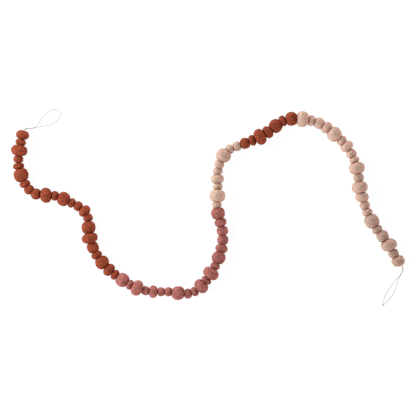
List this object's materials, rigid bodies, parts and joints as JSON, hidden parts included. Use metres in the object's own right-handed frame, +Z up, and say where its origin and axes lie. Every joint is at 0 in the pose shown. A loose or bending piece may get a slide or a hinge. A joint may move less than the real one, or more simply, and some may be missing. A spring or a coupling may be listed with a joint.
{
  "type": "felt ball garland",
  "caption": "Long garland of squashed felt balls in rust, rose and cream, threaded close together on one thin cotton string with a loop at each end, laid out in an S.",
  "frame": {"origin": "under the middle of the box round the felt balls, on the surface that the garland lies on", "axes": "+X along the S to its right end, +Y away from the viewer, +Z up"},
  "size_m": [0.9055, 0.4559, 0.0379],
  "materials": {
    "rust_felt": "matte wool felt",
    "rose_felt": "matte wool felt",
    "cream_felt": "matte wool felt",
    "cotton_string": "matte twisted cotton"
  },
  "bodies": {
    "root": {"cream_ball_44": "cream_felt", "cream_ball_45": "cream_felt", "cream_ball_50": "cream_felt", "cream_ball_60": "cream_felt", "cream_ball_63": "cream_felt", "cream_ball_64": "cream_felt", "cream_ball_69": "cream_felt", "cream_ball_70": "cream_felt", "cream_ball_71": "cream_felt", "cream_ball_74": "cream_felt", "cream_ball_75": "cream_felt", "cream_ball_78": "cream_felt", "cream_balls_46_47": "cream_felt", "cream_balls_48_49": "cream_felt", "cream_balls_51_52": "cream_felt", "cream_balls_61_62": "cream_felt", "cream_balls_65_66": "cream_felt", "cream_balls_67_68": "cream_felt", "cream_balls_72_73": "cream_felt", "cream_balls_76_77": "cream_felt", "cream_balls_79_80": "cream_felt", "rose_ball_24": "rose_felt", "rose_ball_25": "rose_felt", "rose_ball_26": "rose_felt", "rose_ball_31": "rose_felt", "rose_ball_34": "rose_felt", "rose_ball_35": "rose_felt", "rose_ball_36": "rose_felt", "rose_ball_37": "rose_felt", "rose_ball_38": "rose_felt", "rose_ball_43": "rose_felt", "rose_balls_27_28": "rose_felt", "rose_balls_29_30": "rose_felt", "rose_balls_32_33": "rose_felt", "rose_balls_39_40": "rose_felt", "rose_balls_41_42": "rose_felt", "rust_ball_03": "rust_felt", "rust_ball_06": "rust_felt", "rust_ball_09": "rust_felt", "rust_ball_10": "rust_felt", "rust_ball_11": "rust_felt", "rust_ball_12": "rust_felt", "rust_ball_17": "rust_felt", "rust_ball_18": "rust_felt", "rust_ball_21": "rust_felt", "rust_ball_55": "rust_felt", "rust_ball_56": "rust_felt", "rust_ball_57": "rust_felt", "rust_ball_58": "rust_felt", "rust_ball_59": "rust_felt", "rust_balls_01_02": "rust_felt", "rust_balls_04_05": "rust_felt", "rust_balls_07_08": "rust_felt", "rust_balls_13_14": "rust_felt", "rust_balls_15_16": "rust_felt", "rust_balls_19_20": "rust_felt", "rust_balls_22_23": "rust_felt", "rust_balls_53_54": "rust_felt", "string": "cotton_string"}
  },
  "joints": []
}
